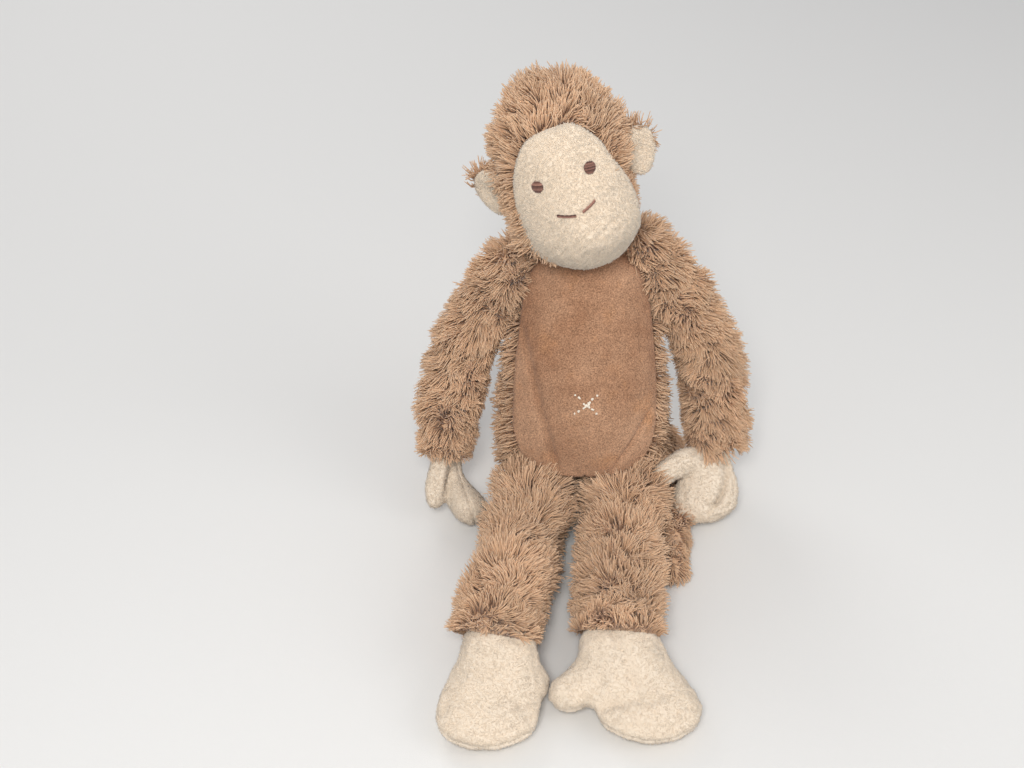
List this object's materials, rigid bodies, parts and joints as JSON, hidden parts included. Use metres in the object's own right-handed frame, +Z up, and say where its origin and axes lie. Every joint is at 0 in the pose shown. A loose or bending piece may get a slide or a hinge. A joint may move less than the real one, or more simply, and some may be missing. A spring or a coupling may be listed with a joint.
{
  "type": "plush monkey",
  "caption": "Sitting plush monkey with shaggy fur, cream face, hands and feet, a smooth belly, long jointed arms and legs and a tail.",
  "frame": {"origin": "middle of the flat seat it sits on", "axes": "+Z up, the monkey faces -Y, +X towards its own left hand"},
  "size_m": [0.1717, 0.2357, 0.225],
  "materials": {
    "shaggy_cloth": "shaggy pile",
    "smooth_cloth": "short velour",
    "cream_cloth": "short terry pile",
    "filling": "loose fibre",
    "pellets": "matte",
    "pouch_cloth": "plain weave",
    "brown_thread": "satin stitch",
    "sewing_thread": "thread",
    "cream_thread": "thread"
  },
  "bodies": {
    "torso": {"belly_panel": "smooth_cloth", "back_panel": "shaggy_cloth", "torso_stuffing": "filling", "bean_pouch": "pouch_cloth", "bean_fill": "pellets", "navel_stitch": "cream_thread", "tail_seam": "sewing_thread"},
    "neck_ring": {"neck_seam": "sewing_thread"},
    "neck_core": {"neck_stuffing": "filling"},
    "head": {"face_panel": "cream_cloth", "head_fur_cap": "shaggy_cloth", "head_stuffing": "filling", "left_eye": "brown_thread", "right_eye": "brown_thread", "left_mouth_stitch": "brown_thread", "right_mouth_stitch": "brown_thread"},
    "left_ear": {"left_ear_front": "cream_cloth", "left_ear_back": "shaggy_cloth"},
    "left_shoulder": {"left_shoulder_seam": "sewing_thread"},
    "left_arm": {"left_arm_sleeve": "shaggy_cloth", "left_arm_stuffing": "filling", "left_wrist_seam": "sewing_thread"},
    "left_hand": {"left_hand_back": "cream_cloth", "left_hand_palm": "cream_cloth", "left_hand_stuffing": "filling"},
    "left_hip": {"left_hip_seam": "sewing_thread"},
    "left_leg": {"left_leg_sleeve": "shaggy_cloth", "left_leg_stuffing": "filling", "left_ankle_seam": "sewing_thread"},
    "left_foot": {"left_foot_upper": "cream_cloth", "left_foot_sole": "cream_cloth", "left_foot_stuffing": "filling"},
    "right_ear": {"right_ear_front": "cream_cloth", "right_ear_back": "shaggy_cloth"},
    "right_shoulder": {"right_shoulder_seam": "sewing_thread"},
    "right_arm": {"right_arm_sleeve": "shaggy_cloth", "right_arm_stuffing": "filling", "right_wrist_seam": "sewing_thread"},
    "right_hand": {"right_hand_back": "cream_cloth", "right_hand_palm": "cream_cloth", "right_hand_stuffing": "filling"},
    "right_hip": {"right_hip_seam": "sewing_thread"},
    "right_leg": {"right_leg_sleeve": "shaggy_cloth", "right_leg_stuffing": "filling", "right_ankle_seam": "sewing_thread"},
    "right_foot": {"right_foot_upper": "cream_cloth", "right_foot_sole": "cream_cloth", "right_foot_stuffing": "filling"},
    "tail": {"tail_sleeve": "shaggy_cloth", "tail_stuffing": "filling"}
  },
  "joints": [
    {"name": "head_turn", "type": "hinge", "parent": "torso", "child": "neck_ring", "pos_m": [0, 0.005, 0.122], "axis": [-0.1799, -0.0654, 0.9815], "range_deg": [-45, 45], "stiffness_Nm_per_rad": 0.12},
    {"name": "head_tilt", "type": "hinge", "parent": "neck_ring", "child": "neck_core", "pos_m": [0, 0.005, 0.122], "axis": [0, 1, 0], "range_deg": [-4, 20], "stiffness_Nm_per_rad": 0.15},
    {"name": "head_nod", "type": "hinge", "parent": "neck_core", "child": "head", "pos_m": [0, 0.005, 0.122], "axis": [1, 0, 0], "range_deg": [-20, 14], "stiffness_Nm_per_rad": 0.15},
    {"name": "left_ear_fold", "type": "hinge", "parent": "head", "child": "left_ear", "pos_m": [0.0208, 0.00509, 0.18932], "axis": [-0.3634, 0.234, 0.9018], "range_deg": [-30, 8], "stiffness_Nm_per_rad": 0.003},
    {"name": "left_arm_swing", "type": "hinge", "parent": "torso", "child": "left_shoulder", "pos_m": [0.036, 0.004, 0.121], "axis": [-0.9848, -0.1736, 0], "range_deg": [0, 105]},
    {"name": "left_arm_spread", "type": "hinge", "parent": "left_shoulder", "child": "left_arm", "pos_m": [0.036, 0.004, 0.121], "axis": [0, -1, 0], "range_deg": [0, 55]},
    {"name": "left_wrist_flex", "type": "hinge", "parent": "left_arm", "child": "left_hand", "pos_m": [0.067, -0.025, 0.0315], "axis": [0.9797, 0.1356, 0.1479], "range_deg": [-18, 3], "stiffness_Nm_per_rad": 0.03},
    {"name": "left_leg_swing", "type": "hinge", "parent": "torso", "child": "left_hip", "pos_m": [0.022, -0.038, 0.02], "axis": [-1, 0, 0], "range_deg": [-80, 20]},
    {"name": "left_leg_roll", "type": "hinge", "parent": "left_hip", "child": "left_leg", "pos_m": [0.022, -0.038, 0.02], "axis": [-0.0808, -0.9967, -0.009], "range_deg": [0, 35]},
    {"name": "left_ankle_flex", "type": "hinge", "parent": "left_leg", "child": "left_foot", "pos_m": [0.013, -0.149, 0.019], "axis": [-0.9903, -0.1392, 0], "range_deg": [-8, 15], "stiffness_Nm_per_rad": 0.03},
    {"name": "right_ear_fold", "type": "hinge", "parent": "head", "child": "right_ear", "pos_m": [-0.03974, 0.00086, 0.16602], "axis": [-0.3634, 0.234, 0.9018], "range_deg": [-8, 30], "stiffness_Nm_per_rad": 0.003},
    {"name": "right_arm_swing", "type": "hinge", "parent": "torso", "child": "right_shoulder", "pos_m": [-0.036, 0.004, 0.121], "axis": [-0.9848, 0.1736, 0], "range_deg": [-6, 105]},
    {"name": "right_arm_spread", "type": "hinge", "parent": "right_shoulder", "child": "right_arm", "pos_m": [-0.036, 0.004, 0.121], "axis": [0, 1, 0], "range_deg": [0, 55]},
    {"name": "right_wrist_flex", "type": "hinge", "parent": "right_arm", "child": "right_hand", "pos_m": [-0.0685, -0.028, 0.03], "axis": [0.0338, -0.7251, 0.6878], "range_deg": [-18, 14], "stiffness_Nm_per_rad": 0.03},
    {"name": "right_leg_swing", "type": "hinge", "parent": "torso", "child": "right_hip", "pos_m": [-0.022, -0.038, 0.02], "axis": [-1, 0, 0], "range_deg": [-80, 20]},
    {"name": "right_leg_roll", "type": "hinge", "parent": "right_hip", "child": "right_leg", "pos_m": [-0.022, -0.038, 0.02], "axis": [0.1743, 0.9847, 0.0087], "range_deg": [0, 35]},
    {"name": "right_ankle_flex", "type": "hinge", "parent": "right_leg", "child": "right_foot", "pos_m": [-0.042, -0.151, 0.019], "axis": [-0.9994, 0.0349, 0], "range_deg": [-8, 15], "stiffness_Nm_per_rad": 0.03},
    {"name": "tail_drop", "type": "hinge", "parent": "torso", "child": "tail", "pos_m": [0.006, 0.017, 0.011], "axis": [0.9019, 0.4309, -0.0301], "range_deg": [0, 70]}
  ]
}
